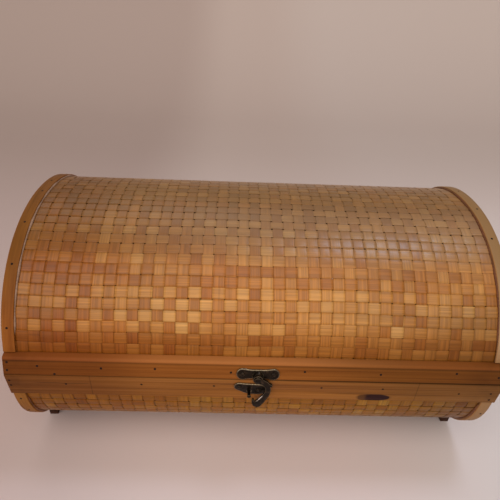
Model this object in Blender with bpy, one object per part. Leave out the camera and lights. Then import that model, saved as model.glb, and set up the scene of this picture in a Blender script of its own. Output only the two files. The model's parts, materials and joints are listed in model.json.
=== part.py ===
"""Barrel trunk of woven bamboo on a wooden frame, with a domed lid hinged at the back and a swing-hook latch.

Frame: +X runs along the trunk to the right, the front faces -Y, +Z is up.
The origin lies on the floor, under the middle of the trunk. Lengths are in metres.
The lid and the base meet at the parting plane. Heights called up or down are counted from that plane.
"""
import math

import bmesh
import bpy
from mathutils import Matrix, Vector
from mathutils.geometry import delaunay_2d_cdt

# Driving sizes of the barrel
LENGTH = 0.400
WEAVE_HALF_DEPTH = 0.1245
LID_RISE = 0.106
LID_ROUNDNESS = 2.15
BASE_DROP = 0.099
BASE_ROUNDNESS = 2.45
MAT_THICKNESS = 0.0018
MAT_SETBACK = 0.001
END_BOARD_THICKNESS = 0.010
SEAT_GAP = 0.0003
PARTING_GAP = 0.0003

# Bent bands round the four rims
BAND_WIDTH = 0.0096
BAND_THICKNESS = 0.002

# Long rails along the parting line
RAIL_THICKNESS = 0.008
LID_RAIL_HEIGHT = 0.0165
LID_RAIL_LIP = 0.0058
LID_RAIL_FALL = 0.0015
LID_RAIL_ROUND = 0.0022
BASE_RAIL_HEIGHT = 0.0245
BASE_RAIL_LIP = 0.0042
BASE_RAIL_ROUND = 0.0010
PARTING_ROUND = 0.0006

# Feet under the base bands
FOOT_CLEARANCE = 0.0055
FOOT_WIDTH = 0.008
FOOT_DEPTH = 0.024
FOOT_REACH = 0.073
FOOT_TAPER = 0.0020
FOOT_INSET = 0.0015

# Screws that hold the hinges and the latch
SCREW_RADIUS = 0.0009
SCREW_LENGTH = 0.0048
SCREW_HEAD_RADIUS = 0.0019
SCREW_HEAD_HEIGHT = 0.0009

# Butt hinges on the back rails
HINGE_SPACING = 0.220
HINGE_LENGTH = 0.026
LEAF_HEIGHT = 0.0125
LEAF_THICKNESS = 0.001
LEAF_CORNER = 0.0015
KNUCKLE_RADIUS = 0.0021
KNUCKLE_SHARE = 0.36
KNUCKLE_GAP = 0.0003
KNUCKLE_STANDOFF = 0.0002
PIN_RADIUS = 0.0010
PIN_CLEARANCE = 0.0001
PIN_HEAD = 0.0007
HINGE_SCREW_SPACING = 0.015
HINGE_SCREW_DROP = 0.0078

# Latch: plate on the lid, swinging hook, catch on the base
LATCH_TILT = math.radians(5)
PLATE_THICKNESS = 0.001
LATCH_PLATE_LENGTH = 0.0345
LATCH_LOBE_RADIUS = 0.0049
LATCH_WAIST_RADIUS = 0.0040
LATCH_PLATE_RISE = 0.0057
BOSS_RADIUS = 0.0041
BOSS_HEIGHT = 0.0016
RIVET_RISE = 0.0038
RIVET_RADIUS = 0.0014
RIVET_CLEARANCE = 0.0001
RIVET_HEAD_RADIUS = 0.0027
RIVET_HEAD_HEIGHT = 0.0012
RIVET_SET = 0.0014
HOOK_THICKNESS = 0.0018
HOOK_RING_RADIUS = 0.0040
HOOK_EDGE = 0.0004
CATCH_EAR_RADIUS = 0.0047
CATCH_BODY_RADIUS = 0.0064
CATCH_LOBE_RADIUS = 0.0067
POST_RADIUS = 0.0013
POST_HEAD_RADIUS = 0.0017
POST_HEAD_HEIGHT = 0.0010
POST_TAIL = 0.0030

# The hook's arm, from the ring to the crook: sideways and down from the rivet, and half its width there
HOOK_ARM = (
    ((0.0020, -0.0014), 0.0024),
    ((0.0066, -0.0046), 0.0024),
    ((0.0086, -0.0100), 0.0021),
    ((0.0076, -0.0160), 0.0024),
    ((0.0042, -0.0226), 0.0028),
    ((0.0007, -0.0276), 0.0034),
)
# The crook's tip, which turns up under the catch post
HOOK_TIP = (
    ((0.0007, -0.0284), 0.0029),
    ((-0.0013, -0.0278), 0.0024),
    ((-0.0028, -0.0256), 0.0014),
    ((-0.0031, -0.0232), 0.0009),
)
# The thumb nub on the hook's outer edge
HOOK_NUB = (
    ((0.0080, -0.0062), 0.0022),
    ((0.0102, -0.0064), 0.0016),
)
# Centres of the catch plate's ear, body and lobe, and of the post, sideways and down from the rivet
CATCH_EAR = (-0.0142, -0.0124)
CATCH_BODY = (-0.0066, -0.0151)
CATCH_LOBE = (0.0008, -0.0156)
POST_PLACE = (-0.0065, -0.0176)

# Facets
ARC_STEPS = 56
RAIL_ARC_STEPS = 5
CORNER_STEPS = 4
ROUND_STEPS = 24
SCREW_STEPS = 14
RIBBON_STEPS = 4
CAP_STEPS = 10
DOME_STEPS = 4

# Places worked out from the sizes above
PARTING_HEIGHT = BASE_DROP + FOOT_CLEARANCE
END_X = LENGTH / 2
FACE_REACH = WEAVE_HALF_DEPTH + RAIL_THICKNESS
FRONT = -1
BACK = 1
UP = 1
DOWN = -1


class Half:
    """The lid's or the base's half of the barrel: which way it bulges, how far, and how square its curve is."""

    def __init__(self, way, rise, roundness):
        self.way = way
        self.rise = rise
        self.roundness = roundness

    def point(self, angle, offset):
        """Depth and height on the weave's outer curve, moved out by an offset. Angle 0 is the front."""
        across = math.cos(angle)
        upward = math.sin(angle)
        power = 2 / self.roundness
        depth = -(WEAVE_HALF_DEPTH + offset) * math.copysign(abs(across) ** power, across)
        height = (self.rise + offset) * abs(upward) ** power
        return Vector((depth, self.way * height))

    def angle_at(self, height, offset):
        """The angle at which the curve has left the parting plane by a height."""
        share = height / (self.rise + offset)
        return math.asin(share ** (self.roundness / 2))

    def reach_at(self, height, offset):
        """How far the curve lies from the middle at a height."""
        return -self.point(self.angle_at(height, offset), offset).x

    def arc(self, offset, first_height, last_height=None, steps=ARC_STEPS):
        """Points on the curve, from the front at one height to the back, or to the front at another height."""
        first = self.angle_at(first_height, offset)
        last = math.pi - first
        if last_height is not None:
            last = self.angle_at(last_height, offset)
        return [self.point(first + (last - first) * i / steps, offset) for i in range(steps + 1)]


LID = Half(UP, LID_RISE, LID_ROUNDNESS)
BASE = Half(DOWN, BASE_DROP, BASE_ROUNDNESS)


# Materials

def finish(name, colour, roughness, metallic=0.0):
    material = bpy.data.materials.new(name)
    material.use_nodes = True
    shader = material.node_tree.nodes["Principled BSDF"]
    shader.inputs["Base Color"].default_value = (*colour, 1.0)
    shader.inputs["Roughness"].default_value = roughness
    shader.inputs["Metallic"].default_value = metallic
    return material


def make_finishes():
    return {
        "bamboo": finish("woven bamboo", (0.62, 0.34, 0.11), 0.45),
        "pine": finish("oiled pine", (0.50, 0.22, 0.07), 0.42),
        "band": finish("bent band wood", (0.55, 0.28, 0.10), 0.45),
        "foot": finish("dark stained wood", (0.10, 0.045, 0.025), 0.6),
        "bronze": finish("dark bronze", (0.12, 0.10, 0.08), 0.38, 0.9),
    }


# Mesh helpers

def new_object(name, mesh_builder, material, matrix=None, smooth=True):
    """A named object from a bmesh, with its faces pointing out."""
    bmesh.ops.recalc_face_normals(mesh_builder, faces=mesh_builder.faces)
    mesh = bpy.data.meshes.new(name)
    mesh_builder.to_mesh(mesh)
    mesh_builder.free()
    if smooth:
        mesh.shade_smooth()
        mesh.set_sharp_from_angle(angle=math.radians(30))
    piece = bpy.data.objects.new(name, mesh)
    bpy.context.collection.objects.link(piece)
    if material:
        mesh.materials.append(material)
    if matrix:
        piece.matrix_world = matrix
    return piece


def raise_faces(mesh_builder, faces, direction):
    """Turn flat faces into a solid by extruding them."""
    grown = bmesh.ops.extrude_face_region(mesh_builder, geom=faces)
    moved = [item for item in grown["geom"] if isinstance(item, bmesh.types.BMVert)]
    bmesh.ops.translate(mesh_builder, verts=moved, vec=direction)


def along_trunk(name, outline, start, end, material):
    """A solid of one outline, given as depth and height from the parting plane, between two places along X."""
    builder = bmesh.new()
    corners = [builder.verts.new((start, p.x, PARTING_HEIGHT + p.y)) for p in outline]
    face = builder.faces.new(corners)
    raise_faces(builder, [face], Vector((end - start, 0, 0)))
    return new_object(name, builder, material)


def curved_strip(name, outer, inner, start, end, material):
    """A bent sheet between two curves of equally many points, between two places along X."""
    builder = bmesh.new()
    outside = [builder.verts.new((start, p.x, PARTING_HEIGHT + p.y)) for p in outer]
    inside = [builder.verts.new((start, p.x, PARTING_HEIGHT + p.y)) for p in inner]
    faces = []
    for i in range(len(outer) - 1):
        faces.append(builder.faces.new((outside[i], outside[i + 1], inside[i + 1], inside[i])))
    raise_faces(builder, faces, Vector((end - start, 0, 0)))
    return new_object(name, builder, material)


def rounded(points, radii):
    """An outline whose corners are rounded where their radius isn't 0."""
    outline = []
    for i, (corner, radius) in enumerate(zip(points, radii)):
        if not radius:
            outline.append(corner)
            continue
        before = (points[i - 1] - corner).normalized()
        after = (points[(i + 1) % len(points)] - corner).normalized()
        half_angle = before.angle(after) / 2
        centre = corner + (before + after).normalized() * radius / math.sin(half_angle)
        start = corner + before * radius / math.tan(half_angle) - centre
        end = corner + after * radius / math.tan(half_angle) - centre
        turn = start.angle_signed(end)
        for step in range(CORNER_STEPS + 1):
            spoke = start.copy()
            spoke.rotate(Matrix.Rotation(-turn * step / CORNER_STEPS, 2))
            outline.append(centre + spoke)
    return outline


def disc_outline(centre, radius, steps=ROUND_STEPS):
    turns = [2 * math.pi * i / steps for i in range(steps)]
    return [Vector((centre[0] + radius * math.cos(t), centre[1] + radius * math.sin(t))) for t in turns]


def smooth_path(stations):
    """A smooth path through stations of a place and a half width."""
    places = [Vector((*place, width)) for place, width in stations]
    path = []
    for i in range(len(places) - 1):
        leaving = (places[i + 1] - places[max(i - 1, 0)]) / 2
        arriving = (places[min(i + 2, len(places) - 1)] - places[i]) / 2
        for step in range(RIBBON_STEPS):
            t = step / RIBBON_STEPS
            point = places[i] * (2 * t**3 - 3 * t**2 + 1) + places[i + 1] * (3 * t**2 - 2 * t**3)
            point += leaving * (t**3 - 2 * t**2 + t) + arriving * (t**3 - t**2)
            path.append(point)
    path.append(places[-1])
    return [point.to_2d() for point in path], [point.z for point in path]


def round_end(centre, side, width):
    """Points of a half circle that starts at one side of a strip and ends at the other."""
    turns = [math.pi * i / CAP_STEPS for i in range(1, CAP_STEPS)]
    spokes = [Matrix.Rotation(t, 2) @ side for t in turns]
    return [centre + spoke * width for spoke in spokes]


def strip_outline(stations):
    """The outline of a curved strip of changing width with round ends."""
    path, widths = smooth_path(stations)
    sides = []
    for i in range(len(path)):
        run = path[min(i + 1, len(path) - 1)] - path[max(i - 1, 0)]
        sides.append(Vector((-run.y, run.x)).normalized())
    left = [place + side * width for place, side, width in zip(path, sides, widths)]
    right = [place - side * width for place, side, width in zip(path, sides, widths)]
    start = round_end(path[0], sides[0], widths[0])
    end = round_end(path[-1], -sides[-1], widths[-1])
    return left[::-1] + start + right + end


def cut_sheet(outlines, thickness):
    """A plate that covers all the outlines, lying on the local XY plane and rising along local Z."""
    points = []
    loops = []
    for outline in outlines:
        loops.append(list(range(len(points), len(points) + len(outline))))
        points += outline
    verts, _, faces, _, _, _ = delaunay_2d_cdt(points, [], loops, 1, 1e-7)
    builder = bmesh.new()
    corners = [builder.verts.new((v.x, v.y, 0)) for v in verts]
    for face in faces:
        builder.faces.new([corners[i] for i in face])
    bmesh.ops.dissolve_limit(builder, angle_limit=math.radians(2), verts=builder.verts, edges=builder.edges)
    bmesh.ops.delete(builder, geom=[v for v in builder.verts if not v.link_faces], context="VERTS")
    raise_faces(builder, builder.faces[:], Vector((0, 0, thickness)))
    return builder


def turned(profile, steps=ROUND_STEPS):
    """A solid turned about local Z from a profile of radius and height that starts and ends on the axis."""
    builder = bmesh.new()
    verts = [builder.verts.new((radius, 0, height)) for radius, height in profile]
    edges = [builder.edges.new(pair) for pair in zip(verts, verts[1:])]
    bmesh.ops.spin(
        builder, geom=verts + edges, cent=(0, 0, 0), axis=(0, 0, 1), dvec=(0, 0, 0),
        angle=2 * math.pi, steps=steps, use_merge=True, use_duplicate=False,
    )
    bmesh.ops.remove_doubles(builder, verts=builder.verts, dist=1e-6)
    return builder


def domed_profile(radius, height, base):
    """The profile of a low dome, from its top on the axis down to its rim."""
    angles = [math.pi / 2 * i / DOME_STEPS for i in range(DOME_STEPS + 1)]
    return [(radius * math.sin(a), base + height * math.cos(a)) for a in angles]


def cutter(name, builder, matrix):
    """A hidden shape that only cuts."""
    piece = new_object(name, builder, None, matrix)
    piece.hide_render = True
    piece.display_type = "WIRE"
    return piece


def combine(piece, other, operation):
    modifier = piece.modifiers.new(other.name, "BOOLEAN")
    modifier.operation = operation
    modifier.solver = "EXACT"
    modifier.object = other
    piece.modifiers.new("flat faces", "TRIANGULATE")


def drill(piece, radius, depth, start, matrix, steps=ROUND_STEPS):
    """A round hole along local Z, from a start height down by a depth."""
    rod = turned([(0, start), (radius, start), (radius, start - depth), (0, start - depth)], steps)
    combine(piece, cutter(f"cut {piece.name} {len(piece.modifiers) // 2}", rod, matrix), "DIFFERENCE")


def bevel_edges(piece, width, angle=math.radians(35)):
    modifier = piece.modifiers.new("soft edges", "BEVEL")
    modifier.width = width
    modifier.segments = 1
    modifier.limit_method = "ANGLE"
    modifier.angle_limit = angle


# Frames on the sloping rail faces: local X along the trunk, local Y up the face, local Z out of the face

def frame_matrix(origin, upward, outward):
    along = upward.cross(outward)
    rotation = Matrix((along, upward, outward)).transposed()
    return Matrix.Translation(origin) @ rotation.to_4x4()


def face_lean(half):
    """The slope of a rail's outer face: how far it draws in over its height."""
    if half is LID:
        lip_height = LID_RAIL_HEIGHT - LID_RAIL_FALL
        return math.atan((FACE_REACH - LID.reach_at(lip_height, 0) - LID_RAIL_LIP) / lip_height)
    return math.atan((FACE_REACH - BASE.reach_at(BASE_RAIL_HEIGHT, 0) - BASE_RAIL_LIP) / BASE_RAIL_HEIGHT)


def face_frame(half, side):
    """The frame on a rail's outer face, with its origin on the parting plane."""
    lean = face_lean(half)
    origin = Vector((0, side * FACE_REACH, PARTING_HEIGHT))
    outward = Vector((0, side * math.cos(lean), half.way * math.sin(lean)))
    upward = Vector((0, -side * half.way * math.sin(lean), math.cos(lean)))
    return frame_matrix(origin, upward, outward)


# Wooden frame, woven mats and bands

def make_half_barrel(half, prefix, finishes):
    """The woven mat, the two end boards and the two bent bands of the lid or the base."""
    gap = PARTING_GAP / 2
    mat_outer = half.arc(0, gap + MAT_SETBACK)
    mat_inner = half.arc(-MAT_THICKNESS, gap + MAT_SETBACK)
    curved_strip(f"{prefix}_woven_panel", mat_outer, mat_inner, -END_X, END_X, finishes["bamboo"])
    board = half.arc(-MAT_THICKNESS - SEAT_GAP, gap)
    rail_height = LID_RAIL_HEIGHT if half is LID else BASE_RAIL_HEIGHT
    band_inner = half.arc(SEAT_GAP, rail_height + SEAT_GAP)
    band_outer = half.arc(SEAT_GAP + BAND_THICKNESS, rail_height + SEAT_GAP)
    for name, way in (("left", -1), ("right", 1)):
        outside = way * END_X
        along_trunk(f"{prefix}_end_board_{name}", board, outside, outside - way * END_BOARD_THICKNESS, finishes["pine"])
        inside = outside - way * BAND_WIDTH
        curved_strip(f"{prefix}_edge_band_{name}", band_outer, band_inner, outside, inside, finishes["band"])


def lid_rail_outline():
    """The lid rail's section: its back hugs the mat, its top is a rounded ledge, its face leans back."""
    back = LID.arc(SEAT_GAP, PARTING_GAP / 2, LID_RAIL_HEIGHT, RAIL_ARC_STEPS)
    lip_height = LID_RAIL_HEIGHT - LID_RAIL_FALL
    lip = Vector((-LID.reach_at(lip_height, 0) - LID_RAIL_LIP, lip_height))
    toe = Vector((-FACE_REACH, PARTING_GAP / 2))
    radii = [0] * len(back) + [LID_RAIL_ROUND, PARTING_ROUND]
    return rounded(back + [lip, toe], radii)


def base_rail_outline():
    """The base rail's section, a wedge that thins towards its lower edge."""
    back = BASE.arc(SEAT_GAP, PARTING_GAP / 2, BASE_RAIL_HEIGHT, RAIL_ARC_STEPS)
    lip = Vector((-BASE.reach_at(BASE_RAIL_HEIGHT, 0) - BASE_RAIL_LIP, -BASE_RAIL_HEIGHT))
    toe = Vector((-FACE_REACH, -PARTING_GAP / 2))
    radii = [0] * len(back) + [BASE_RAIL_ROUND, PARTING_ROUND]
    return rounded(back + [lip, toe], radii)


def make_rails(finishes):
    """Four rails from end to end: front and back, on the lid and on the base."""
    rails = {}
    for prefix, outline in (("lid", lid_rail_outline()), ("base", base_rail_outline())):
        for name, side in (("front", FRONT), ("back", BACK)):
            section = [Vector((-side * p.x, p.y)) for p in outline]
            rail = along_trunk(f"{prefix}_{name}_rail", section, -END_X, END_X, finishes["pine"])
            rails[prefix, name] = rail
    return rails


def make_foot(name, side, way, finishes):
    """A short tapered foot, its top cut to the curve of the base band that it is nailed to."""
    seat = SEAT_GAP + BAND_THICKNESS + SEAT_GAP
    rear_reach = FOOT_REACH - FOOT_DEPTH
    top = []
    for i in range(RAIL_ARC_STEPS + 1):
        depth = FOOT_REACH + (rear_reach - FOOT_REACH) * i / RAIL_ARC_STEPS
        share = depth / (WEAVE_HALF_DEPTH + seat)
        drop = (BASE_DROP + seat) * (1 - share**BASE_ROUNDNESS) ** (1 / BASE_ROUNDNESS)
        top.append(Vector((side * depth, -drop)))
    sole = [
        Vector((side * rear_reach, -PARTING_HEIGHT)),
        Vector((side * (FOOT_REACH - FOOT_TAPER), -PARTING_HEIGHT)),
    ]
    outside = way * (END_X - FOOT_INSET)
    return along_trunk(name, top + sole, outside, outside - way * FOOT_WIDTH, finishes["foot"])


# Screws

def make_screw(name, matrix, finishes):
    """A round-headed screw. Local Z 0 is the face of the plate that it holds."""
    head = domed_profile(SCREW_HEAD_RADIUS, SCREW_HEAD_HEIGHT, SEAT_GAP)
    tip = -SCREW_LENGTH
    shank = [(SCREW_RADIUS, SEAT_GAP), (SCREW_RADIUS, tip + SCREW_RADIUS), (0, tip)]
    return new_object(name, turned(head + shank, SCREW_STEPS), finishes["bronze"], matrix)


def seat_screw(name, plate, plate_thickness, rail, frame, place, finishes):
    """A screw through a plate into a rail, with the holes it needs in both."""
    surface = SEAT_GAP + plate_thickness
    matrix = frame @ Matrix.Translation((place[0], place[1], surface))
    hole = SCREW_RADIUS + SEAT_GAP
    drill(plate, hole, 3 * plate_thickness, plate_thickness, matrix, SCREW_STEPS)
    drill(rail, hole, SCREW_LENGTH + SEAT_GAP, 0, matrix, SCREW_STEPS)
    make_screw(name, matrix, finishes)


# Hinges

def knuckle_axis_reach():
    """How far the hinge axis lies from the middle, so that the knuckles clear both sloping faces."""
    steepest = max(face_lean(LID), face_lean(BASE))
    return FACE_REACH + (SEAT_GAP + KNUCKLE_STANDOFF + KNUCKLE_RADIUS) / math.cos(steepest)


def knuckle_spans(half):
    """Where a leaf has knuckles along the hinge: the base leaf at both ends, the lid leaf in the middle."""
    end = HINGE_LENGTH / 2
    middle = HINGE_LENGTH * KNUCKLE_SHARE / 2
    if half is LID:
        return [(-middle, middle)]
    return [(-end, -middle - KNUCKLE_GAP), (middle + KNUCKLE_GAP, end)]


def make_leaf(name, half, centre_x, finishes):
    """One hinge leaf: a plate on the rail's face, whose tabs run into knuckles bored for the pin."""
    frame = face_frame(half, BACK) @ Matrix.Translation((-centre_x, 0, 0))
    clear = KNUCKLE_RADIUS + 2 * KNUCKLE_GAP
    end = HINGE_LENGTH / 2
    low, high = sorted((half.way * clear, half.way * LEAF_HEIGHT))
    corners = [Vector(p) for p in ((-end, low), (end, low), (end, high), (-end, high))]
    outer = [half.way < 0, half.way < 0, half.way > 0, half.way > 0]
    outlines = [rounded(corners, [LEAF_CORNER if far else 0 for far in outer])]
    for start, stop in knuckle_spans(half):
        tab_low, tab_high = sorted((0, half.way * 2 * clear))
        start, stop = start + KNUCKLE_GAP / 2, stop - KNUCKLE_GAP / 2
        outlines.append([Vector(p) for p in ((start, tab_low), (stop, tab_low), (stop, tab_high), (start, tab_high))])
    plate = cut_sheet(outlines, LEAF_THICKNESS)
    leaf = new_object(name, plate, finishes["bronze"], frame @ Matrix.Translation((0, 0, SEAT_GAP)))
    axis = Vector((centre_x, knuckle_axis_reach(), PARTING_HEIGHT))
    along = Matrix.Translation(axis) @ Matrix.Rotation(-math.pi / 2, 4, "Y")
    for number, (start, stop) in enumerate(knuckle_spans(half)):
        barrel = turned([(0, start), (KNUCKLE_RADIUS, start), (KNUCKLE_RADIUS, stop), (0, stop)])
        combine(leaf, cutter(f"{name} knuckle {number}", barrel, along), "UNION")
    bore = PIN_RADIUS + PIN_CLEARANCE
    drill(leaf, bore, 2 * HINGE_LENGTH, HINGE_LENGTH, along)
    return leaf, frame


def make_hinge(side_name, centre_x, rails, finishes):
    """A pair of leaves, their pin and four screws."""
    for half, level, prefix in ((BASE, "lower", "base"), (LID, "upper", "lid")):
        leaf, frame = make_leaf(f"hinge_{side_name}_{level}_leaf", half, centre_x, finishes)
        for place, offset in (("inner", -0.5), ("outer", 0.5)):
            across = math.copysign(1, -centre_x) * offset * HINGE_SCREW_SPACING
            seat_screw(
                f"hinge_{side_name}_{level}_screw_{place}", leaf, LEAF_THICKNESS, rails[prefix, "back"],
                frame, (across, half.way * HINGE_SCREW_DROP), finishes,
            )
    end = HINGE_LENGTH / 2 + KNUCKLE_GAP
    head = (KNUCKLE_RADIUS + PIN_RADIUS) / 2
    profile = [
        (0, -end - PIN_HEAD), (head, -end - PIN_HEAD / 2), (head, -end), (PIN_RADIUS, -end),
        (PIN_RADIUS, end), (head, end), (head, end + PIN_HEAD / 2), (0, end + PIN_HEAD),
    ]
    axis = Vector((centre_x, knuckle_axis_reach(), PARTING_HEIGHT))
    along = Matrix.Translation(axis) @ Matrix.Rotation(-math.pi / 2, 4, "Y")
    new_object(f"hinge_{side_name}_pin", turned(profile), finishes["bronze"], along)


# Latch

def latch_frame():
    """The frame of the swinging hook: origin on the rivet's axis at the face of the plate's boss."""
    lean = face_lean(LID)
    reach = FACE_REACH - RIVET_RISE * math.tan(lean) + SEAT_GAP + PLATE_THICKNESS + BOSS_HEIGHT
    origin = Vector((0, FRONT * reach, PARTING_HEIGHT + RIVET_RISE))
    outward = Vector((0, -math.cos(LATCH_TILT), -math.sin(LATCH_TILT)))
    upward = Vector((0, -math.sin(LATCH_TILT), math.cos(LATCH_TILT)))
    return frame_matrix(origin, upward, outward)


def on_face(face, place):
    """Where the line through a place in the hook's frame, square to the face, meets the rail's face."""
    world = latch_frame() @ Vector((place[0], place[1], SEAT_GAP + HOOK_THICKNESS / 2))
    local = face.inverted() @ world
    return local.x, local.y, local.z


def make_latch_plate(rails, finishes):
    """The plate on the lid rail: two round lobes, a waist and a raised boss that holds the rivet."""
    frame = face_frame(LID, FRONT)
    lobe_x = LATCH_PLATE_LENGTH / 2 - LATCH_LOBE_RADIUS
    stations = (
        ((-lobe_x, LATCH_PLATE_RISE), LATCH_LOBE_RADIUS),
        ((-lobe_x / 2, LATCH_PLATE_RISE), LATCH_WAIST_RADIUS),
        ((0, LATCH_PLATE_RISE), LATCH_WAIST_RADIUS),
        ((lobe_x / 2, LATCH_PLATE_RISE), LATCH_WAIST_RADIUS),
        ((lobe_x, LATCH_PLATE_RISE), LATCH_LOBE_RADIUS),
    )
    plate_frame = frame @ Matrix.Translation((0, 0, SEAT_GAP))
    sheet = cut_sheet([strip_outline(stations)], PLATE_THICKNESS)
    plate = new_object("latch_plate", sheet, finishes["bronze"], plate_frame)
    root = -BOSS_HEIGHT - PLATE_THICKNESS - 2 * BOSS_RADIUS * math.tan(LATCH_TILT + face_lean(LID))
    shoulder = BOSS_RADIUS - HOOK_EDGE
    boss = turned([(0, 0), (shoulder, 0), (BOSS_RADIUS, -HOOK_EDGE), (BOSS_RADIUS, root), (0, root)])
    boss = cutter("latch boss", boss, latch_frame())
    size = LATCH_PLATE_LENGTH
    behind = bmesh.new()
    bmesh.ops.create_cube(behind, size=size, matrix=Matrix.Translation((0, 0, (PLATE_THICKNESS - size) / 2)))
    combine(boss, cutter("behind latch boss", behind, plate_frame), "DIFFERENCE")
    combine(plate, boss, "UNION")
    drill(plate, RIVET_RADIUS + RIVET_CLEARANCE, RIVET_SET + SEAT_GAP + BOSS_HEIGHT, BOSS_HEIGHT, latch_frame())
    for name, way in (("left", -1), ("right", 1)):
        seat_screw(
            f"latch_screw_{name}", plate, PLATE_THICKNESS, rails["lid", "front"], frame,
            (way * lobe_x, LATCH_PLATE_RISE), finishes,
        )


def make_latch_hook(finishes):
    """The hook that swings on the rivet: ring, curved arm, thumb nub and the crook that takes the post."""
    outlines = [disc_outline((0, 0), HOOK_RING_RADIUS)]
    for stations in (HOOK_ARM, HOOK_TIP, HOOK_NUB):
        outlines.append(strip_outline(stations))
    sheet = cut_sheet(outlines, HOOK_THICKNESS)
    matrix = latch_frame() @ Matrix.Translation((0, 0, SEAT_GAP))
    hook = new_object("latch_hook", sheet, finishes["bronze"], matrix)
    bevel_edges(hook, HOOK_EDGE)
    drill(hook, RIVET_RADIUS + RIVET_CLEARANCE, 3 * HOOK_THICKNESS, 2 * HOOK_THICKNESS, matrix)


def make_rivet(finishes):
    """The rivet, set in the plate's boss, on which the hook turns."""
    top = SEAT_GAP + HOOK_THICKNESS + SEAT_GAP
    head = domed_profile(RIVET_HEAD_RADIUS, RIVET_HEAD_HEIGHT, top)
    shank = [(RIVET_RADIUS, top), (RIVET_RADIUS, -RIVET_SET), (0, -RIVET_SET)]
    new_object("latch_rivet", turned(head + shank), finishes["bronze"], latch_frame())


def make_catch(rails, finishes):
    """The catch on the base rail: a plate with a screwed ear and lobe, and the headed post between them."""
    frame = face_frame(BASE, FRONT)
    ear = on_face(frame, CATCH_EAR)
    body = on_face(frame, CATCH_BODY)
    lobe = on_face(frame, CATCH_LOBE)
    stations = (
        (ear[:2], CATCH_EAR_RADIUS),
        (body[:2], CATCH_BODY_RADIUS),
        (lobe[:2], CATCH_LOBE_RADIUS),
    )
    sheet = cut_sheet([strip_outline(stations)], PLATE_THICKNESS)
    plate = new_object("catch_plate", sheet, finishes["bronze"], frame @ Matrix.Translation((0, 0, SEAT_GAP)))
    for name, place in (("left", ear), ("right", lobe)):
        seat_screw(
            f"catch_screw_{name}", plate, PLATE_THICKNESS, rails["base", "front"], frame, place[:2], finishes,
        )
    post = on_face(frame, POST_PLACE)
    matrix = frame @ Matrix.Translation((post[0], post[1], 0))
    neck = post[2] + HOOK_THICKNESS / 2 + SEAT_GAP + POST_HEAD_RADIUS * math.tan(face_lean(BASE))
    head = domed_profile(POST_HEAD_RADIUS, POST_HEAD_HEIGHT, neck)
    shank = [(POST_RADIUS, neck), (POST_RADIUS, -POST_TAIL), (0, -POST_TAIL)]
    new_object("catch_post", turned(head + shank), finishes["bronze"], matrix)
    hole = POST_RADIUS + SEAT_GAP
    drill(plate, hole, 4 * PLATE_THICKNESS, 3 * PLATE_THICKNESS, matrix)
    drill(rails["base", "front"], hole, POST_TAIL + SEAT_GAP + PLATE_THICKNESS, PLATE_THICKNESS, matrix)


def main():
    for old in list(bpy.data.objects):
        bpy.data.objects.remove(old, do_unlink=True)
    finishes = make_finishes()
    make_half_barrel(BASE, "base", finishes)
    make_half_barrel(LID, "lid", finishes)
    rails = make_rails(finishes)
    for depth_name, side in (("front", FRONT), ("back", BACK)):
        for end_name, way in (("left", -1), ("right", 1)):
            make_foot(f"foot_{depth_name}_{end_name}", side, way, finishes)
    for side_name, way in (("left", -1), ("right", 1)):
        make_hinge(side_name, way * HINGE_SPACING / 2, rails, finishes)
    make_latch_plate(rails, finishes)
    make_latch_hook(finishes)
    make_rivet(finishes)
    make_catch(rails, finishes)


main()
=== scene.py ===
"""The look of a barrel trunk of woven bamboo on a wooden frame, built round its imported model.

Everything is in metres, in the model's own frame: +X along the trunk, the front faces -Y, +Z is up.
"""
import json
import math
import random

import bmesh
import bpy
import numpy as np
from mathutils import Matrix, Vector
from mathutils.bvhtree import BVHTree

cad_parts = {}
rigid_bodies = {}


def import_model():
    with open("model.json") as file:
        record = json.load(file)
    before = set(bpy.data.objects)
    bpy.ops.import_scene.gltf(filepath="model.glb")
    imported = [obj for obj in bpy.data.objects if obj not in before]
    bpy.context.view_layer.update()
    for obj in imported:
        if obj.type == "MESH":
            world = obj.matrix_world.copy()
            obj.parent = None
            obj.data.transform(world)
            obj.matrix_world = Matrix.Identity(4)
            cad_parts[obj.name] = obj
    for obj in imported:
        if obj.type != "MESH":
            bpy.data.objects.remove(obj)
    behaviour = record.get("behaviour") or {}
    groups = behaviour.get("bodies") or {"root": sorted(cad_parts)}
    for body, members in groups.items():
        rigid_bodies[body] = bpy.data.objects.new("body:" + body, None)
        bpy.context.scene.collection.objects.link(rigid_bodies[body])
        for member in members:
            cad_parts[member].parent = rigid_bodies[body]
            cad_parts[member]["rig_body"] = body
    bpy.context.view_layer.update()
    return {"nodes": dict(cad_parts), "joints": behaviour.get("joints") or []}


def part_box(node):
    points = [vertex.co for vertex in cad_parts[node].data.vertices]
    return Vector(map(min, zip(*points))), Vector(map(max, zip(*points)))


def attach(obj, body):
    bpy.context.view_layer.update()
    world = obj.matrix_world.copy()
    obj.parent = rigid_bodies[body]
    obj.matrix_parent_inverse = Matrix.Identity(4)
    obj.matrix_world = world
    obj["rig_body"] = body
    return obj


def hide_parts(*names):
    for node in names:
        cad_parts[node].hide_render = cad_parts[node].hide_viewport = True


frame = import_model()

nodes = frame["nodes"]
joint_places = {joint["name"]: Vector(joint["pos_m"]) for joint in frame["joints"]}

# Sizes that the frame gives
LID_LOW, LID_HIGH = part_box("lid_woven_panel")
BASE_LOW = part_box("base_woven_panel")[0]
PARTING = joint_places["lid_hinge"].z
HALF_DEPTH = LID_HIGH.y
LID_RISE = LID_HIGH.z - PARTING
BASE_DROP = PARTING - BASE_LOW.z
END_X = LID_HIGH.x
BAND_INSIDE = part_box("lid_edge_band_right")[0].x
MAT_SETBACK = LID_LOW.z - PARTING

# The section's curve, as the wooden pieces have it
LID_ROUNDNESS = 2.15
BASE_ROUNDNESS = 2.45
CURVE_STEPS = 1440
SLOPE_REACH = 0.0008

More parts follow.
